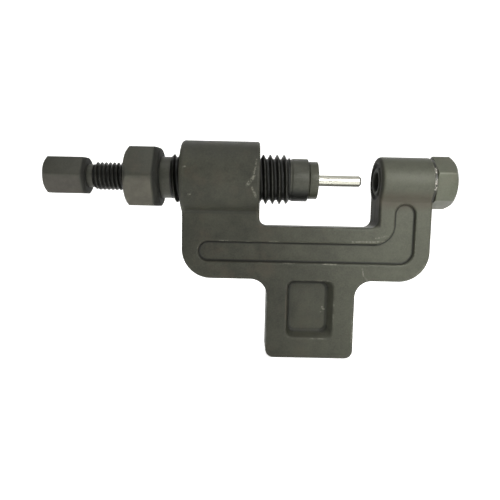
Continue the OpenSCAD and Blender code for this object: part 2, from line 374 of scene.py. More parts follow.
def thread_tree():
    sheet, given = begin_tree("screw_thread", THREAD_SIZES, ("Thread Rows", "Sides"))
    crest, root, bore, pitch, start, end, phase, lead_in, lead_out, rows, sides, finish = given
    # three more rows close the shell: one down to the bore at each end, and one back along the bore
    grid = sheet.node("GeometryNodeMeshGrid", {}, Size_X=rows + 2.0, Size_Y=sides, Vertices_X=rows + 3.0,
                      Vertices_Y=sides + 1.0)
    place = sheet.xyz(sheet.node("GeometryNodeInputPosition", {}))
    row = place[0] + (rows + 2.0) / 2.0
    column = place[1] + sides / 2.0
    thread_row = (row - 1.0).most(0.0).least(rows - 1.0)
    turn = column / sides
    along = (start + (thread_row / ROWS_PER_TURN - 1.0 + turn) * pitch).most(start).least(end)
    t = sheet.maths("FRACT", (along - start) / pitch - turn + phase + WHOLE_TURNS)
    height = ((FLANK_END - (t - 0.5).size()) / FLANK).clamp()
    radius = root + (crest - root) * height
    radius = radius.least(crest - lead_in + (along - start)).least(crest - lead_out + (end - along))
    at_start = (0.5 - row).step(*SHARP).most((row - rows - 1.5).step(*SHARP))
    at_end = (row - rows - 0.5).step(*SHARP) * (1.0 - at_start)
    x = along * (1.0 - at_start) * (1.0 - at_end) + start * at_start + end * at_end
    r = radius * (1.0 - at_start) * (1.0 - at_end) + bore * (at_start + at_end)
    angle = turn * (2 * math.pi)
    rolled = sheet.node("ShaderNodeCombineXYZ", {}, x, r * sheet.maths("COSINE", angle),
                        r * sheet.maths("SINE", angle))
    wrapped = sheet.node("GeometryNodeSetPosition", {}, Geometry=grid, Position=rolled)
    welded = sheet.node("GeometryNodeMergeByDistance", {}, Geometry=wrapped, Distance=WELD)
    return end_tree(sheet, welded, finish)


def grow(tree, name, inputs):
    """Runs a Geometry Nodes tree on an empty mesh and returns the result as plain points and faces."""
    holder = bpy.data.objects.new(name, bpy.data.meshes.new(name))
    bpy.context.scene.collection.objects.link(holder)
    modifier = holder.modifiers.new("grow", "NODES")
    modifier.node_group = tree
    for item in tree.interface.items_tree:
        if item.in_out == "INPUT" and item.name in inputs:
            modifier[item.identifier] = inputs[item.name]
    bpy.context.view_layer.update()
    result = bpy.data.meshes.new_from_object(holder.evaluated_get(bpy.context.evaluated_depsgraph_get()))
    bpy.data.objects.remove(holder)
    points = [tuple(v.co) for v in result.vertices]
    faces = [tuple(p.vertices) for p in result.polygons]
    bpy.data.meshes.remove(result)
    return points, faces


SCREW_TREE = thread_tree()


def thread(start, end, crest, pitch, bore=0.0, datum=None, root=None, lead_in=0.0, lead_out=0.0, sides=80):
    """A threaded length. datum is where its helix starts, so that two threads can be in mesh."""
    root = crest - THREAD_DEPTH * pitch if root is None else root
    datum = start if datum is None else datum
    rows = int(math.ceil((end - start) / pitch) + 1) * ROWS_PER_TURN + 1
    return grow(SCREW_TREE, "thread", {
        "Crest Radius": crest * MM, "Root Radius": root * MM, "Bore Radius": bore * MM, "Pitch": pitch * MM,
        "Start": start * MM, "End": end * MM, "Phase": ((start - datum) / pitch) % 1.0,
        "Lead In": lead_in * MM, "Lead Out": lead_out * MM, "Thread Rows": rows, "Sides": sides})


trial = thread(0, 10, 5, 1.5)
print("a 10 mm M10 thread has", len(trial[0]), "points and", len(trial[1]), "faces")

# %% [markdown]
# ## The forged frame
#
# A drop forging has no sharp edge: the dies leave rounded corners, blended roots and leaning walls.
# It could be a subdivided box model, but then every fillet is pushed by hand. Here the shape is
# written as one distance formula instead: the value is negative inside the steel, and two shapes
# meet in a rounded edge or join in a fillet of a stated radius. The formula is then sampled on a
# fine grid, a skin is laid where it changes sign, and each point of the skin is moved onto the true
# surface.

# %% Rounded joins of two distances


def join(a, b, radius):
    """Both shapes together, with a fillet where they meet."""
    near = np.hypot(np.maximum(radius - a, 0), np.maximum(radius - b, 0))
    return np.maximum(radius, np.minimum(a, b)) - near


def meet(a, b, radius):
    """What is inside both shapes, with a rounded edge."""
    near = np.hypot(np.maximum(radius + a, 0), np.maximum(radius + b, 0))
    return np.minimum(-radius, np.maximum(a, b)) + near


def carve(a, b, radius):
    """The first shape with the second taken away."""
    return meet(a, -b, radius)


print("1 mm outside two planes:", round(float(join(1.0, 1.0, 2.0)), 3), "mm from their 2 mm fillet")

# %% Sizes of the forging
frame_low, frame_high = node_box["frame"]
HALF_PLATE, PLATE_EDGE = 6.5, 0.8
PLATE_CORNER_LEFT, PLATE_CORNER_RIGHT = 10.6, 11.0
BOSS_RADIUS, BOSS_LEFT, BOSS_RIGHT, BOSS_EDGE = 13.5, -70.9, -42.9, 1.3
END_BOSS_RADIUS, END_BOSS_EDGE = 9.05, 1.6
SEAT, SEAT_EDGE, SEAT_RADIUS = 18.5, 0.7, 9.55      # the machined face under the washer
BOSS_FILLET, ROOT_EDGE = 0.8, 0.9                   # where a boss grows out of the plate
BOSS_ROOT_LOW, END_ROOT_LOW, END_ROOT_LEFT = -14.0, -9.0, 0.6
WEB_LEFT, WEB_RIGHT, THROAT_CORNER = -70.5, -42.6, 2.9
ARM_RIGHT, BAR_TOP, BAR_LOW = 19.2, -16.75, -36.2
TAB_LEFT, TAB_RIGHT, TAB_LOW, TAB_TOP = -39.5, -7.3, -65.1, -24
TAB_CORNER, TAB_ROOT = 3.0, 6.0
FLASH_STEP, FLASH_HALF_WIDTH = 0.06, 0.5            # the trimmed line where the two dies met

GROOVE_LEFT, GROOVE_LOW, GROOVE_RIGHT, GROOVE_TOP = -64.6, -30.0, 13.5, -7.9
NOTCH_RIGHT, NOTCH_LOW = 5.8, -22.5                 # the corner of the land inside the L
GROOVE_DEPTH, GROOVE_LEAN = 1.3, 0.25
POCKET_LEFT, POCKET_RIGHT, POCKET_LOW, POCKET_TOP = -32.0, -15.0, -57.5, -36.4
POCKET_DEPTH, POCKET_CORNER, STEEP, LEANING = 3.5, 2.4, 0.2, 0.6
print("frame in the CAD model:", np.round(frame_low, 2), np.round(frame_high, 2))


# %% The plate, the two bosses, and what is sunk into them


def plate_shape(x, z, side):
    """The flat C with its tab, seen from the side, and as thick as the plate."""
    left = meet(WEB_LEFT - x, BAR_LOW - z, PLATE_CORNER_LEFT)
    plate = np.maximum(meet(left, x - ARM_RIGHT, PLATE_CORNER_RIGHT), z)
    throat = meet(meet(BAR_TOP - z, WEB_RIGHT - x, THROAT_CORNER), x, THROAT_CORNER)
    tab = meet(meet(TAB_LEFT - x, TAB_LOW - z, TAB_CORNER), x - TAB_RIGHT, TAB_CORNER)
    plate = join(np.maximum(plate, -throat), np.maximum(tab, z - TAB_TOP), TAB_ROOT)
    flash = FLASH_STEP - FLASH_STEP * np.exp(-(side / FLASH_HALF_WIDTH) ** 2)
    return meet(plate + flash, side - HALF_PLATE, PLATE_EDGE)


def boss_root(reach, z, side, radius, ends, low):
    """The fillet between a boss and the plate, cut off at the boss's ends and below low."""
    root = meet(join(reach - radius, np.maximum(side - HALF_PLATE, z), BOSS_FILLET), ends, ROOT_EDGE)
    return np.maximum(root, low - z)


def groove_shape(x, z):
    """L-shaped groove: a long leg along the bar and a short one up the arm."""
    outer = meet(meet(GROOVE_LEFT - x, GROOVE_LOW - z, 3.7), meet(x - GROOVE_RIGHT, z - GROOVE_TOP, 3.8), 5.1)
    notch = meet(x - NOTCH_RIGHT, NOTCH_LOW - z, 6.9)
    return meet(outer, -notch, 3.7)


def pocket_shape(x, z, lean):
    """The sunk panel in the tab, with steep walls at its left and top and leaning ones opposite."""
    low_left = meet(STEEP * lean + POCKET_LEFT - x, LEANING * lean + POCKET_LOW - z, POCKET_CORNER)
    top_right = meet(x - POCKET_RIGHT + LEANING * lean, z - POCKET_TOP + STEEP * lean, POCKET_CORNER)
    return meet(low_left, top_right, POCKET_CORNER)


# %% The forging as one formula


def forging(x, y, z):
    side = np.abs(y)
    reach = np.hypot(y, z)
    body = plate_shape(x, z, side)

    middle, half = (BOSS_LEFT + BOSS_RIGHT) / 2, (BOSS_RIGHT - BOSS_LEFT) / 2
    boss = meet(reach - BOSS_RADIUS, np.abs(x - middle) - half, BOSS_EDGE)
    ends = np.maximum(WEB_LEFT - x, x - BOSS_RIGHT)
    root = boss_root(reach, z, side, BOSS_RADIUS, ends, BOSS_ROOT_LOW)
    body = np.minimum(body, np.minimum(boss, root))

    end_boss = meet(meet(reach - END_BOSS_RADIUS, -x, END_BOSS_EDGE), x - SEAT, SEAT_EDGE)
    ends = np.maximum(END_ROOT_LEFT - x, x - ARM_RIGHT)
    root = boss_root(reach, z, side, END_BOSS_RADIUS, ends, END_ROOT_LOW)
    body = np.minimum(body, np.minimum(end_boss, root))

    lean = HALF_PLATE - side
    groove = meet(groove_shape(x, z) + GROOVE_LEAN * lean, HALF_PLATE - GROOVE_DEPTH - side, 0.4)
    pocket = meet(pocket_shape(x, z, lean), HALF_PLATE - POCKET_DEPTH - side, 0.8)
    body = carve(carve(body, groove, 0.35), pocket, 0.45)
    return np.maximum(body, -np.maximum(reach - SEAT_RADIUS, SEAT - x))


middle_of_bar = forging(*np.array([-20.0, 0.0, -26.0]))
print("distance at the middle of the bar:", round(float(middle_of_bar), 2), "mm")

# %% [markdown]
# ### Laying the skin
#
# The grid is cut into small cells. A cell with some corners inside the steel and some outside gets
# one point, and every grid edge that crosses the surface gets one four-sided face between the four
# cells round it. A few steps along the slope of the formula put each point exactly on the surface,
# so the mesh is smooth although the cells are coarse.

# %% A skin over a formula
CELL = 0.42
STEPS = 5                       # along the slope, for each point


def slope(field, p, width=0.02):
    """How fast the formula grows along each axis at the points p."""
    change = [field(*(p + width * axis).T) - field(*(p - width * axis).T) for axis in np.eye(3)]
    return np.stack(change, axis=1) / (2 * width)


def skin(field, low, high, cell):
    """Points and four-sided faces of the surface where the formula is zero."""
    axes = [np.arange(a - 1.5 * cell, b + 2.5 * cell, cell) for a, b in zip(low, high)]
    inside = np.empty([len(a) for a in axes], bool)
    for i, x in enumerate(axes[0]):
        grid_y, grid_z = np.meshgrid(axes[1], axes[2], indexing="ij")
        inside[i] = field(np.full_like(grid_y, x), grid_y, grid_z) < 0
    nx, ny, nz = (n - 1 for n in inside.shape)
    corners = sum(inside[i:nx + i, j:ny + j, k:nz + k].astype(np.int8)
                  for i in (0, 1) for j in (0, 1) for k in (0, 1))
    mixed = (corners > 0) & (corners < 8)
    number = np.full(mixed.shape, -1)
    number[mixed] = np.arange(mixed.sum())
    cells = np.argwhere(mixed)
    corner = np.stack([axes[n][cells[:, n]] for n in range(3)], axis=1)
    points = corner + cell / 2
    for _ in range(STEPS):
        g = slope(field, points)
        points = points - (field(*points.T) / np.maximum((g * g).sum(1), 0.2))[:, None] * g
        points = np.clip(points, corner - 0.1 * cell, corner + 1.1 * cell)
    quads = []
    for a in range(3):
        b, c = (a + 1) % 3, (a + 2) % 3
        first, last = [slice(None)] * 3, [slice(None)] * 3
        first[a], last[a] = slice(None, -1), slice(1, None)
        crossing = inside[tuple(first)] != inside[tuple(last)]
        edge = np.argwhere(crossing)
        step_b, step_c = np.eye(3, dtype=int)[b], np.eye(3, dtype=int)[c]
        around = (0 * step_b, step_b, step_b + step_c, step_c)
        ring = np.stack([number[tuple((edge - m).T)] for m in around], axis=1)
        leaving = inside[tuple(edge.T)]
        ring[~leaving] = ring[~leaving][:, ::-1]
        quads.append(ring)
    return points, np.concatenate(quads)


points, quads = skin(forging, frame_low, frame_high, CELL)
print("forging:", len(points), "points,", len(quads), "faces")
forged = bpy.data.meshes.new("forged_frame")
forged.from_pydata((points * MM).tolist(), [], quads.tolist())
forged_frame = finish_mesh("forged_frame", forged, 60)

# %% [markdown]
# ### Machining the forging
#
# After forging, the two bosses are bored, countersunk and tapped. The cutters are the same turned
# shapes and spiral threads as the bolts, a little larger, and start their helix at the same place,
# so the nut thread and the bolt thread are in mesh and stay so as the bolt is screwed in or out. The
# large hole is drilled wider than its thread's root, because the whole barrel has to pass through it.

# %% Taps and countersinks
MAIN_CREST, MAIN_PITCH, MAIN_START = 9.0, 2.5, -74.6
MAIN_DATUM = -76.0              # where the main thread's root would lie on the +Y side
PUSH_CREST, PUSH_PITCH, PUSH_START = 5.0, 1.5, -103.0
END_CREST, END_PITCH, END_START = 6.0, 1.5, 1.0
SLACK = 0.09
TAP_DRILL_RADIUS = 7.84         # wide enough for the plain barrel of the pressure bolt to pass through



def cone(x_low, radius_low, x_high, radius_high, sides=96):
    """A countersink that opens the mouth of a hole."""
    return lathe([(x_low, 0), (x_low, radius_low), (x_high, radius_high), (x_high, 0)], 0.05, sides)


cutters = [
    ("main_tap", [thread(-76.0, -38.0, MAIN_CREST + SLACK, MAIN_PITCH, datum=MAIN_DATUM,
                         root=TAP_DRILL_RADIUS, sides=96)]),
    ("main_mouth_left", [cone(-73, 12.0, -69.8, 8.9)]),
    ("main_mouth_right", [cone(-44.0, 8.9, -40.9, 12.0)]),
    ("end_tap", [thread(END_START - 4.5, 22.0, END_CREST + SLACK, END_PITCH, datum=END_START,
                        root=END_CREST - THREAD_DEPTH * END_PITCH + SLACK, sides=72)]),
    ("end_mouth", [cone(-2, 8.8, 0.75, 6.05, 72)]),
]
for name, shells in cutters:
    cutter = mesh_piece(name, shells)
    cut = forged_frame.modifiers.new(name, "BOOLEAN")
    cut.operation, cut.solver, cut.object = "DIFFERENCE", "MANIFOLD", cutter
bpy.context.view_layer.update()
machined = bpy.data.meshes.new_from_object(forged_frame.evaluated_get(bpy.context.evaluated_depsgraph_get()))
print("after machining:", len(machined.vertices), "points,", len(machined.polygons), "faces")
forged_frame.modifiers.clear()
forged_frame.data = machined
for name, shells in cutters:
    bpy.data.objects.remove(bpy.data.objects[name])
machined.shade_smooth()
machined.set_sharp_from_angle(angle=math.radians(40))

# %% [markdown]
# ### Where the finish wears, and where shade is painted
#
# Phosphate rubs off on proud edges, and the roots get painted shade. How strongly the surface bends tells
# which is which, and the formula gives it directly: the sum of its second differences is positive on
# an outer edge and negative in a root. It is stored on the mesh for the material to read.


# %% Edge and root attribute
def bend(field, p, width=0.5):
    """How strongly the surface bends at the points p: above zero on an edge, below it in a root."""
    around = sum(field(*(p + width * s * axis).T) for axis in np.eye(3) for s in (-1, 1))
    return (around - 6 * field(*p.T)) / width ** 2


co = np.empty(len(machined.vertices) * 3)
machined.vertices.foreach_get("co", co)
bending = np.clip(bend(forging, co.reshape(-1, 3) / MM) * 0.4, -1, 1)
machined.attributes.new("edge", "FLOAT", "POINT").data.foreach_set("value", bending.astype(np.float32))
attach(forged_frame, "frame")
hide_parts("frame")
print("edge attribute from", round(float(bending.min()), 2), "to", round(float(bending.max()), 2))

# %% [markdown]
# ## The pressure bolt
#
# A hollow M18 bolt: hexagon, relieved neck, thread, and a plain turned barrel at the working end.
# Each length is its own closed shell, and the shells sit a little way into each other, as simple
# and as safe for later export as one mesh.

# %% Pressure bolt
BOLT_BORE, BARREL_BORE = 5.3, 5.55
BARREL_LEFT, BARREL_RIGHT = -33.0, -25.4
NECK_RADIUS, BARREL_RADIUS = 7.5, 7.75
barrel = [(BARREL_LEFT, BARREL_BORE), (BARREL_LEFT, 7.45), (-31.4, 7.45), (-31.0, BARREL_RADIUS),
          (BARREL_RIGHT, BARREL_RADIUS), (BARREL_RIGHT, 5.56), (BARREL_LEFT, BARREL_BORE)]
pressure_bolt = mesh_piece("pressure_bolt_spiral", [
    hexagon(-90.8, -78.5, 21.0, bore=5.1),
    rod(-79.3, -74.2, NECK_RADIUS, bore=BOLT_BORE),
    thread(MAIN_START, -32.1, MAIN_CREST, MAIN_PITCH, bore=BOLT_BORE, datum=MAIN_DATUM, lead_in=1.3,
           lead_out=1.0, sides=96),
    lathe(barrel, 0.3),
])
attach(pressure_bolt, "pressure_bolt")
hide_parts("pressure_bolt")
print("pressure bolt:", len(pressure_bolt.data.polygons), "faces")

# %% [markdown]
# ## The pin guide, its snap ring, the pin and its spring
#
# The guide is a small bush that swivels in the barrel's mouth, so the chain isn't scuffed when the
# bolt turns. The pin is hardened and ground bright. Its head is pushed by the push bolt and pulled
# back by a coil spring that lies hidden in the barrel.

# %% Guide, snap ring and pin
GUIDE_BORE, GUIDE_STEM, RING_GROOVE, GUIDE_NOSE = 2.56, 5.49, 4.9, 6.8
GUIDE_LEFT, GUIDE_RIGHT = -32.0, -21.8
guide = [(GUIDE_LEFT, GUIDE_BORE), (GUIDE_LEFT, GUIDE_STEM), (-29.25, GUIDE_STEM), (-29.25, RING_GROOVE),
         (-27.95, RING_GROOVE), (-27.95, GUIDE_STEM), (-25.38, GUIDE_STEM), (-25.38, 6.45), (-24.9, 6.45),
         (-24.9, GUIDE_NOSE), (GUIDE_RIGHT, GUIDE_NOSE), (GUIDE_RIGHT, GUIDE_BORE), (GUIDE_LEFT, GUIDE_BORE)]
pin_guide = mesh_piece("pin_guide_bush", [lathe(guide, 0.25)])
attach(pin_guide, "guide")
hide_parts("pin_guide")

PIN_LEFT, PIN_TIP, PIN_SHOULDER, PIN_RADIUS = -57.5, -5.6, -21.75, 2.0
pin = [(PIN_LEFT, 0), (PIN_LEFT, 4.0), (-54.5, 4.0), (-54.5, 2.5), (PIN_SHOULDER, 2.5),
       (PIN_SHOULDER, PIN_RADIUS), (-6.25, PIN_RADIUS), (PIN_TIP, 1.35), (PIN_TIP, 0)]
extraction_pin = mesh_piece("extraction_pin_ground", [lathe(pin, 0.12, 64)])
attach(extraction_pin, "extraction_pin")
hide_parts("extraction_pin")
print("pin and guide made")

# %% [markdown]
# ### The spring
#
# A spring is a wire that follows a helix, which Geometry Nodes have ready: a spiral curve, and a
# circle swept along it. The spiral stands up along Z, so its points are turned onto the screw axis.
# One end moves with the pin's head and the other stays in the bolt.


# %% Spring tree
def spring_tree():
    sheet, given = begin_tree("coil_spring", ("Coil Radius", "Wire Radius", "Turns", "Length", "Start"))
    coil_radius, wire, turns, length, start, finish = given
    coil = sheet.node("GeometryNodeCurveSpiral", {}, Resolution=32, Rotations=turns,
                      Start_Radius=coil_radius, End_Radius=coil_radius, Height=length - wire * 2.0)
    ring = sheet.node("GeometryNodeCurvePrimitiveCircle", {}, Resolution=10, Radius=wire)
    wound = sheet.node("GeometryNodeCurveToMesh", {}, Curve=coil, Profile_Curve=ring, Fill_Caps=True)
    x, y, z = sheet.xyz(sheet.node("GeometryNodeInputPosition", {}))
    lying = sheet.node("ShaderNodeCombineXYZ", {}, z + start + wire, y, 0.0 - x)
    laid = sheet.node("GeometryNodeSetPosition", {}, Geometry=wound, Position=lying)
    return end_tree(sheet, laid, finish)


COIL_RADIUS, WIRE_RADIUS, COIL_TURNS, SPRING_GAP = 3.55, 0.44, 7.0, 0.02
spring_low, spring_high = node_box["return_spring"]
return_spring = mesh_piece("return_spring_wire", [grow(spring_tree(), "spring", {
    "Coil Radius": COIL_RADIUS * MM, "Wire Radius": WIRE_RADIUS * MM, "Turns": COIL_TURNS,
    "Start": float(spring_low[0] + SPRING_GAP) * MM,
    "Length": float(spring_high[0] - spring_low[0] - 2 * SPRING_GAP) * MM})], 60)
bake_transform(return_spring)
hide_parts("return_spring")
print("spring:", len(return_spring.data.polygons), "faces")

# %% [markdown]
# ## The push bolt, the adjuster bolt and its washer
#
# Both bolts are built from the same hexagon, neck and thread as the pressure bolt. The adjuster is
# drilled right through, so its shells have a bore. Its hexagon stopped with one corner a little
# above the middle when it was last tightened.

# %% Push bolt and adjuster
push_bolt = mesh_piece("push_bolt_spiral", [
    hexagon(-120.1, -105.3, 13.0),
    rod(-106.0, -102.6, 4.15, sides=64),
    thread(PUSH_START, -68.5, PUSH_CREST, PUSH_PITCH, lead_in=0.8, lead_out=0.8),
    rod(-69.0, -57.56, 3.99, edge=0.3, sides=64),
])
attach(push_bolt, "push_bolt")
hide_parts("push_bolt")

ADJUSTER_BORE, THREAD_BORE, TIP_RADIUS = 3.5, 3.6, 5.05
tip = [(0.4, ADJUSTER_BORE), (0.0, 3.9), (0.0, 4.7), (0.4, TIP_RADIUS), (1.4, TIP_RADIUS),
       (1.4, ADJUSTER_BORE), (0.4, ADJUSTER_BORE)]
adjuster_bolt = mesh_piece("adjuster_bolt_spiral", [
    hexagon(19.6, 27.2, 17.0, bore=ADJUSTER_BORE, chamfer_low=False, turn=20.0),
    rod(17.0, 20.0, 5.1, bore=THREAD_BORE, sides=72),
    thread(END_START, 17.5, END_CREST, END_PITCH, bore=THREAD_BORE, lead_in=1.0, lead_out=0.8, sides=72),
    lathe(tip, 0.08, 72),
])
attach(adjuster_bolt, "adjuster_bolt")
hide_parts("adjuster_bolt")

WASHER_BORE, WASHER_RADIUS, WASHER_LEFT, WASHER_RIGHT = 6.3, 8.75, 18.55, 19.55
washer = [(19.0, WASHER_BORE), (WASHER_LEFT, WASHER_BORE), (WASHER_LEFT, WASHER_RADIUS),
          (WASHER_RIGHT, WASHER_RADIUS), (WASHER_RIGHT, WASHER_BORE), (19.0, WASHER_BORE)]
adjuster_washer = mesh_piece("adjuster_washer_turned", [lathe(washer, 0.15)])
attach(adjuster_washer, "adjuster_washer")
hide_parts("adjuster_washer")
print("push bolt, adjuster and washer made")

# %% [markdown]
# ## Finishes
#
# All the steel is real metal under a thin dark coat, so each finish is a dark base with blotches of
# brown and olive, a fine grain that catches the light, and brighter metal where the coat has rubbed
# away. One recipe covers them, and each piece sets its own tones and how worn it is. The recipe also
# paints light and shade: a lighter ramp along the frame, lighter lower faces, and shade in roots,
# threads, bores, narrow rings and below the barrel and pin.

# %% Tones and marks
PER_MM = 1000.0                 # Object coordinates are in metres, and the recipe works in millimetres


def toned(colour, share=1.0):
    """A colour made darker or lighter by a share, with the alpha that a colour socket wants."""
    return tuple(share * c for c in colour) + (1,)


def stroke(sheet, place, points, width):
    """A mark along a line through (x, z) points on the front, 1 on the line and 0 beyond width."""
    x, y, z = (part * PER_MM for part in sheet.xyz(place))
    mark = None
    for (ax, az), (bx, bz) in zip(points, points[1:]):
        run, rise = bx - ax, bz - az
        along = (((x - ax) * run + (z - az) * rise) / (run * run + rise * rise)).clamp()
        dx, dz = x - ax - along * run, z - az - along * rise
        gap = sheet.maths("SQRT", dx * dx + dz * dz)
        mark = gap if mark is None else mark.least(gap)
    front = (0.0 - y).step(1.0, 2.0)
    return (1.0 - mark.step(width * 0.2, width)) * front


print("half of mid grey:", toned((0.5, 0.5, 0.5), 0.5))

# %% The blackened steel recipe
ROOT_SHADE, UNDER_SHADE = 0.2, 0.15     # shares of the dark tone, where little light comes
STAIN_AND_SHADE_TONE = (0.04, 0.034, 0.023)
# where the throat's inner wall gets painted shade
THROAT_LEFT, THROAT_RIGHT, THROAT_LOW = (-1.5, -1.0), 1.3, (-17.0, -15.5)
LATHE_FEED = 0.28                       # distance between the lines of a turned surface


def steel(name, dark, light, brown, roughness, metal=0.3, grain=1.0, wear=0.5,
          wear_and_glint_tone=(0.22, 0.215, 0.175), marks=(), stain_and_shade_marks=(), crest=None, edge=False, turned=0.0,
          blotch=1.0, painted_light_ramp=None, under=None, painted_bore_shade=(), shaded=(), painted_lower_light=None, sheen=0.3):
    """A finish. Its options, with lengths in millimetres along the screw axis:

    marks, stain_and_shade_marks: scratches and brown stains, each a line through (x, z) points; marks also
    paint the washer's highlights, and stain_and_shade_marks the painted shade under the end boss
    crest: (from, to, radius) of a thread, darkened all over by painted shade for its shaded roots, and rubbed
    on its crests
    edge: the mesh carries the edge attribute, for rubbed edges and painted shade in roots
    turned: how strong the lines of the lathe are
    lift: (from, to, tone) of painted light: the coat ramps up along x to this lighter tone
    under: (from, shallow, deep) of painted shade on the lower side, between two depths below the axis
    hollows: (from, to, radius) of bores darkened by painted shade
    shaded: (from, to) of rings with painted shade, in the shade of a larger piece
    warm: (to, tone) of painted light on lower faces, a lighter and browner tone as if lit from below
    """
    material = bpy.data.materials.new(name)
    material.use_nodes = True
    material.node_tree.nodes.clear()
    sheet = Sheet(material.node_tree)
    place = sheet.node("ShaderNodeTexCoord", {}, out=3)

    def clouds(size_mm, detail=3.0, rough=0.6, at=(0.0, 0.0, 0.0)):
        moved = sheet.node("ShaderNodeMapping", {}, Vector=place, Location=at)
        return sheet.node("ShaderNodeTexNoise", {}, Vector=moved, Scale=PER_MM / size_mm, Detail=detail,
                          Roughness=rough)

    # the coat: broad and fine blotches, a grain, and brown patches
    broad = clouds(16, 3).step(0.3, 0.7)
    mottle = clouds(3.2, 4, 0.65).step(0.25, 0.75)
    rust = clouds(10, 4, 0.7, at=(3.1, 1.7, 0.4)).step(0.5, 0.75) * blotch
    speck = clouds(0.6, 2, 0.6)
    share = broad * 0.4 + mottle * 0.3 + (speck - 0.5) * 0.9 + 0.15
    tone = sheet.mix(share.clamp(), toned(dark), toned(light))
    tone = sheet.mix(rust * 0.5, tone, toned(brown))
    x, y, z = (part * PER_MM for part in sheet.xyz(place))
    radius = sheet.maths("SQRT", y * y + z * z)
    # painted light: the coat gets lighter towards the right end, as if lit from there
    if painted_light_ramp:
        start, end, shade = painted_light_ramp
        # painted shade on the throat's inner wall, which faces away from the light
        painted_throat_shade = x.step(*THROAT_LEFT) * (THROAT_RIGHT - x).step(0.0, 0.9) * z.step(*THROAT_LOW)
        tone = sheet.mix(painted_throat_shade * 0.4, tone, toned(dark, UNDER_SHADE))
        share = mottle * 0.5 + (speck - 0.5) * 1.1 + 0.25
        painted_lit_tone = sheet.mix(share.clamp(), toned(shade, 0.75), toned(shade, 1.25))
        tone = sheet.mix(x.step(start, end) * (1.0 - painted_throat_shade), tone, painted_lit_tone)

    # wear: scattered specks, proud edges, and the crests of a thread; painted shade in roots and over threads
    rubbed = clouds(1.6, 4, 0.7, at=(0.3, 5.1, 2.2))
    specks = clouds(0.5, 2, at=(5.0, 2.0, 8.0)).step(0.72, 0.80)
    worn = specks * clouds(8, 2, at=(1.0, 9.0, 4.0)).step(0.5, 0.7) * 0.5 * wear
    if edge:
        bent = sheet.node("ShaderNodeAttribute", {"attribute_name": "edge"}, out=2)
        proud = bent.step(0.3, 0.9) * clouds(11, 2, at=(2.0, 4.0, 6.0)).step(0.5, 0.66)
        worn = worn.most(proud * rubbed.step(0.4, 0.7) * 0.8 * wear)
        # painted shade in roots and creases, where walls lie in shadow
        tone = sheet.mix((0.0 - bent).step(0.05, 0.6) * 0.75, tone, toned(dark, ROOT_SHADE))
    if crest:
        low, high, top = crest
        threaded = x.within((low - 0.3, low), (high, high + 0.3)) * (1.0 - radius.step(top + 0.1, top + 0.3))
        # painted shade over the whole thread, which stands in for its shaded roots
        tone = sheet.mix(threaded * 0.98, tone, toned(dark, ROOT_SHADE))
        rubbed_crest = threaded * radius.step(top - 0.35, top) * rubbed.step(0.3, 0.7) * 0.1
        worn = (worn * (1.0 - threaded)).most(rubbed_crest)

    # painted light on lower faces and painted shade below; scratches, rubbed metal and stains; then painted
    # shade in rings and bores
    # painted light: lower faces take a lighter, browner tone, as if lit from below
    if painted_lower_light:
        end, shade = painted_lower_light
        lower = (0.0 - z).step(-0.5, 2.5) * (1.0 - x.step(end - 0.5, end))
        tone = sheet.mix(lower, tone, sheet.mix(mottle, toned(shade, 0.8), toned(shade, 1.2)))
    # painted shade on the lower side, which faces the dark frame below
    if under:
        start, shallow, deep = under
        painted_underside_shade = (0.0 - z).step(shallow, deep) * x.step(start - 0.2, start) * 0.95
        tone = sheet.mix(painted_underside_shade, tone, toned(dark, UNDER_SHADE))
    for points, width in marks:
        # scratches take the rubbed tone; on the washer these strokes are painted highlights
        worn = worn.most(stroke(sheet, place, points, width) * clouds(0.7, 3, 0.7).step(0.35, 0.75) * 0.55)
    tone = sheet.mix(worn.clamp(), tone, toned(wear_and_glint_tone))
    # brown stains, and painted shade under the end boss
    for points, width, share in stain_and_shade_marks:
        stain_and_shade = stroke(sheet, place, points, width) * (rubbed * 0.6 + 0.4) * share
        tone = sheet.mix(stain_and_shade, tone, toned(STAIN_AND_SHADE_TONE))
    # painted shade on narrow rings beside a larger piece, which are also made rougher below
    painted_ring_shade = x * 0.0
    for low, high in shaded:
        painted_ring_shade = painted_ring_shade.most(x.within((low - 0.5, low + 0.5), (high, high + 0.3)))
    tone = sheet.mix(painted_ring_shade * 0.8, tone, toned(dark, ROOT_SHADE))
    # painted shade inside bores, where little light reaches
    for low, high, reach in painted_bore_shade:
        inside = x.within((low, low + 0.1), (high - 0.1, high)) * (1.0 - radius.step(reach, reach + 0.15))
        tone = sheet.mix(inside, tone, sheet.mix(mottle, toned(dark, 0.1), toned(dark, 0.4)))

    # the surface itself
    rough = roughness + (mottle - 0.5) * 0.12 + (speck - 0.5) * 0.14 - worn * 0.15 + painted_ring_shade * 0.3
    if painted_light_ramp:
        rough = rough + painted_throat_shade * 0.25
    height = speck * 0.5 + clouds(0.3, 2, 0.6) * 0.25 + mottle * 0.5
    if turned:
        lines = sheet.maths("SINE", x * (2.0 * math.pi / LATHE_FEED) + mottle * 1.5)
        height = height * 0.4 + lines * 0.25 * turned
        rough = rough + lines * 0.03 * turned
    bump = sheet.node("ShaderNodeBump", {}, Strength=0.35 * grain, Distance=0.00012, Height=height)
    shader = sheet.node("ShaderNodeBsdfPrincipled", {}, Base_Color=tone, Roughness=rough.clamp(),
                        Metallic=(metal + worn * 0.4).clamp(), Specular_IOR_Level=sheen, Normal=bump)
    output = material.node_tree.nodes.new("ShaderNodeOutputMaterial")
    material.node_tree.links.new(shader.socket, output.inputs[0])
    return material


def coat(piece, material):
    piece.data.materials.clear()
    piece.data.materials.append(material)


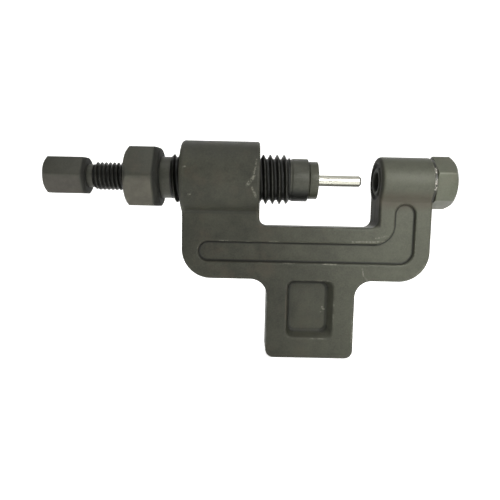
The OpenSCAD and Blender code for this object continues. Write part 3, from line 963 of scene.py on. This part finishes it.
# %% Scratches, rust and painted shade on the frame
SCRATCHES = [
    ([(-69.0, 2.9), (-68.6, 3.0)], 0.6), ([(-67.3, -6.2), (-66.9, -6.1)], 0.6),
    ([(-47.2, -2.6), (-45.9, -0.9), (-45.0, 0.4)], 0.8), ([(-45.2, 0.2), (-44.5, 3.4), (-44.3, 6.0)], 0.5),
    ([(-45.6, -3.4), (-44.2, -6.5)], 0.6), ([(-9.0, -21.9), (-2.4, -21.8), (2.6, -21.5)], 0.45),
    ([(-0.6, -20.4), (3.0, -19.6)], 0.5), ([(-5.1, -31.6), (-4.6, -34.0), (-3.2, -35.7)], 0.4),
    ([(13.8, -33.6), (16.2, -31.9), (18.1, -28.8)], 0.6),
    ([(-7.9, -50.5), (-7.8, -54.0), (-8.0, -58.5)], 0.55),
    ([(-18.6, -46.6), (-18.0, -47.2)], 0.7), ([(-19.4, -48.5), (-19.1, -48.3)], 0.4),
]
# brown stains; the last, wide line is painted shade under the end boss, in the same brown tone
STAIN_AND_SHADE_LINES = [
    ([(-32.4, -42.0), (-32.2, -50.5)], 0.6, 0.5), ([(-57.2, 0.5), (-57.0, -1.5)], 3.5, 0.35),
    ([(-63.0, -2.0), (-62.5, -2.0)], 2.5, 0.35), ([(2.5, -6.8), (17.5, -6.8)], 4.5, 0.95),
]
print(len(SCRATCHES), "scratches and", len(STAIN_AND_SHADE_LINES), "stains")

# %% One finish for each piece
# each finish: its dark, light and brown tones, its roughness, and what is particular to it
# painted light ramps up along the frame; painted shade in its tapped bores and roots
forged_phosphate = steel(
    "forged_phosphate", (0.012, 0.0124, 0.0084), (0.038, 0.0385, 0.0268), (0.041, 0.033, 0.022), 0.55,
    wear=0.9, marks=SCRATCHES, stain_and_shade_marks=STAIN_AND_SHADE_LINES, edge=True, painted_light_ramp=(-42, 14, (0.051, 0.053, 0.0385)),
    painted_bore_shade=((-71.5, -42.0, 9.4), (-1.0, 18.4, 6.7)))
# painted shade on the thread, below the barrel, in the bore and on the hexagon's end ring; painted light on
# the hexagon's lower faces
black_thread = steel(
    "black_thread", (0.02, 0.0215, 0.015), (0.044, 0.044, 0.034), (0.052, 0.044, 0.032), 0.48, wear=0.3,
    crest=(-74.6, -32.1, 8.95), turned=0.6, under=(-32.6, 2.6, 5.6), painted_bore_shade=((-92.0, -25.0, 5.5),),
    shaded=((-80.4, -78.4),), painted_lower_light=(-80.6, (0.054, 0.051, 0.039)))
olive_bush = steel(
    "olive_bush", (0.026, 0.027, 0.018), (0.046, 0.0465, 0.033), (0.04, 0.035, 0.024), 0.45, turned=0.6,
    blotch=0.4)
# painted shade below the pin's tip
ground_pin = steel(
    "ground_pin", (0.36, 0.357, 0.305), (0.43, 0.425, 0.365), (0.34, 0.32, 0.27), 0.32, metal=0.95,
    grain=0.08, turned=0.1, blotch=0.2, wear=0.0, under=(-22.0, 1.1, 1.9), sheen=0.5)
spring_wire = steel(
    "spring_wire", (0.25, 0.24, 0.22), (0.4, 0.39, 0.36), (0.2, 0.17, 0.13), 0.35, metal=0.9)
# painted shade on the thread and the hexagon's end ring; painted light on the hexagon's lower faces
black_push = steel(
    "black_push", (0.024, 0.0248, 0.0185), (0.046, 0.0455, 0.036), (0.056, 0.046, 0.035), 0.48, wear=0.3,
    crest=(-103.0, -68.5, 4.95), shaded=((-106.3, -105.2),), painted_lower_light=(-106.6, (0.041, 0.038, 0.031)))
# painted shade on the thread, in the bore and on the ring at the tip
worn_black = steel(
    "worn_black", (0.044, 0.047, 0.032), (0.078, 0.082, 0.06), (0.078, 0.07, 0.052), 0.45,
    crest=(1.0, 17.5, 5.95), painted_bore_shade=((-1.0, 28.0, 3.75),), shaded=((-0.6, 0.9),))
# the washer is dark; its two bright strokes along the rim are painted highlights
dark_washer_painted_glint = steel(
    "dark_washer_painted_glint", (0.008, 0.008, 0.006), (0.03, 0.03, 0.024), (0.03, 0.026, 0.02), 0.4, grain=0.4,
    wear_and_glint_tone=(0.6, 0.58, 0.5),
    marks=[([(19.05, 4.6), (19.05, 3.4)], 0.9), ([(19.05, 0.6), (19.05, -2.4)], 0.9)])
snap_steel = steel(
    "snap_steel", (0.14, 0.13, 0.12), (0.25, 0.24, 0.22), (0.15, 0.12, 0.09), 0.4, metal=0.8)
for piece, material in ((forged_frame, forged_phosphate), (pressure_bolt, black_thread),
                        (pin_guide, olive_bush), (extraction_pin, ground_pin),
                        (return_spring, spring_wire), (push_bolt, black_push),
                        (adjuster_bolt, worn_black), (adjuster_washer, dark_washer_painted_glint),
                        (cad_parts["guide_snap_ring"], snap_steel)):
    coat(piece, material)
print("finishes:", ", ".join(m.name for m in bpy.data.materials))

# %% [markdown]
# ## Floor and light
#
# The tool stands on the end of its tab, on a plain white sheet that curves up behind it. The sheet is
# backlit acrylic, as in a light tent: it glows evenly, so it throws light up under the tool and keeps
# shadows faint. The sky is softer, a small lamp stands to the right, a weak one to the left, and a
# wide one hangs above.

# %% Floor
FLOOR_FRONT, FLOOR_HALF_WIDTH = -4.0, 4.0        # in metres, as the rest of the stage is
SWEEP_START, SWEEP_RADIUS, WALL_TOP = 0.35, 0.4, 1.6
GLOW = 0.66
floor_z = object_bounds()[0][2]
acrylic = bpy.data.materials.new("backlit_acrylic")
acrylic.use_nodes = True
acrylic.node_tree.nodes.clear()
sheet = Sheet(acrylic.node_tree)
cloud = sheet.node("ShaderNodeTexNoise", {}, Scale=40.0, Detail=2.0)
glow = sheet.mix(cloud, (0.97, 0.97, 0.96, 1), (1.0, 1.0, 0.99, 1))
shader = sheet.node("ShaderNodeBsdfPrincipled", {}, Base_Color=glow, Roughness=0.9, Emission_Color=glow,
                    Emission_Strength=GLOW)
output = acrylic.node_tree.nodes.new("ShaderNodeOutputMaterial")
acrylic.node_tree.links.new(shader.socket, output.inputs[0])
rows = [(FLOOR_FRONT, floor_z), (SWEEP_START, floor_z)]
rows += [(SWEEP_START + SWEEP_RADIUS * math.sin(a), floor_z + SWEEP_RADIUS * (1 - math.cos(a)))
         for a in np.linspace(0.1, math.pi / 2, 12)]
rows += [(SWEEP_START + SWEEP_RADIUS, floor_z + WALL_TOP)]
floor_points = [(x, y, z) for y, z in rows for x in (-FLOOR_HALF_WIDTH, FLOOR_HALF_WIDTH)]
floor_faces = [(2 * k, 2 * k + 1, 2 * k + 3, 2 * k + 2) for k in range(len(rows) - 1)]
floor_mesh = bpy.data.meshes.new("acrylic_floor")
floor_mesh.from_pydata(floor_points, [], floor_faces)
floor_mesh.shade_smooth()
floor = bpy.data.objects.new("acrylic_floor", floor_mesh)
bpy.context.scene.collection.objects.link(floor)
floor.data.materials.append(acrylic)
floor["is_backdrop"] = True
print("floor at", round(floor_z / MM, 2), "mm")

# %% Light
SKY = 0.4
world = bpy.data.worlds.new("soft_sky")
bpy.context.scene.world = world
world.use_nodes = True
background = world.node_tree.nodes["Background"]
background.inputs["Color"].default_value = (1, 1, 0.99, 1)
background.inputs["Strength"].default_value = SKY


def soft_light(name, place, aim, width, watts):
    """A square lamp at place that faces aim."""
    lamp = bpy.data.lights.new(name, "AREA")
    lamp.shape, lamp.size, lamp.energy = "SQUARE", width, watts
    holder = bpy.data.objects.new(name, lamp)
    bpy.context.scene.collection.objects.link(holder)
    back = np.array(place, float) - np.array(aim, float)
    back /= np.linalg.norm(back)
    across = np.cross((0, 0, 1), back)
    across /= np.linalg.norm(across)
    holder.matrix_world = standing(across, np.cross(back, across), back, place)


soft_light("front_lamp", (0.065, -0.17, 0.06), (-0.02, 0, -0.02), 0.08, 0.4)
soft_light("left_fill", (-0.3, -0.5, 0.15), (-0.08, 0, 0), 0.3, 0.1)
soft_light("top_lamp", (-0.06, -0.16, 0.42), (-0.03, 0, 0), 0.35, 0.85)
print("lamps:", ", ".join(sorted(lamp.name for lamp in bpy.data.lights)))

# %% [markdown]
# ## Sizes
#
# The last cell prints the box of what is seen and the box of the CAD model.

# %% Sizes
visual_box = [[float(n) for n in corner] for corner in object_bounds()]
for title, box in (("CAD box", cad_box), ("visual box", visual_box)):
    print(title, np.round(np.array(box) / MM, 2).tolist())
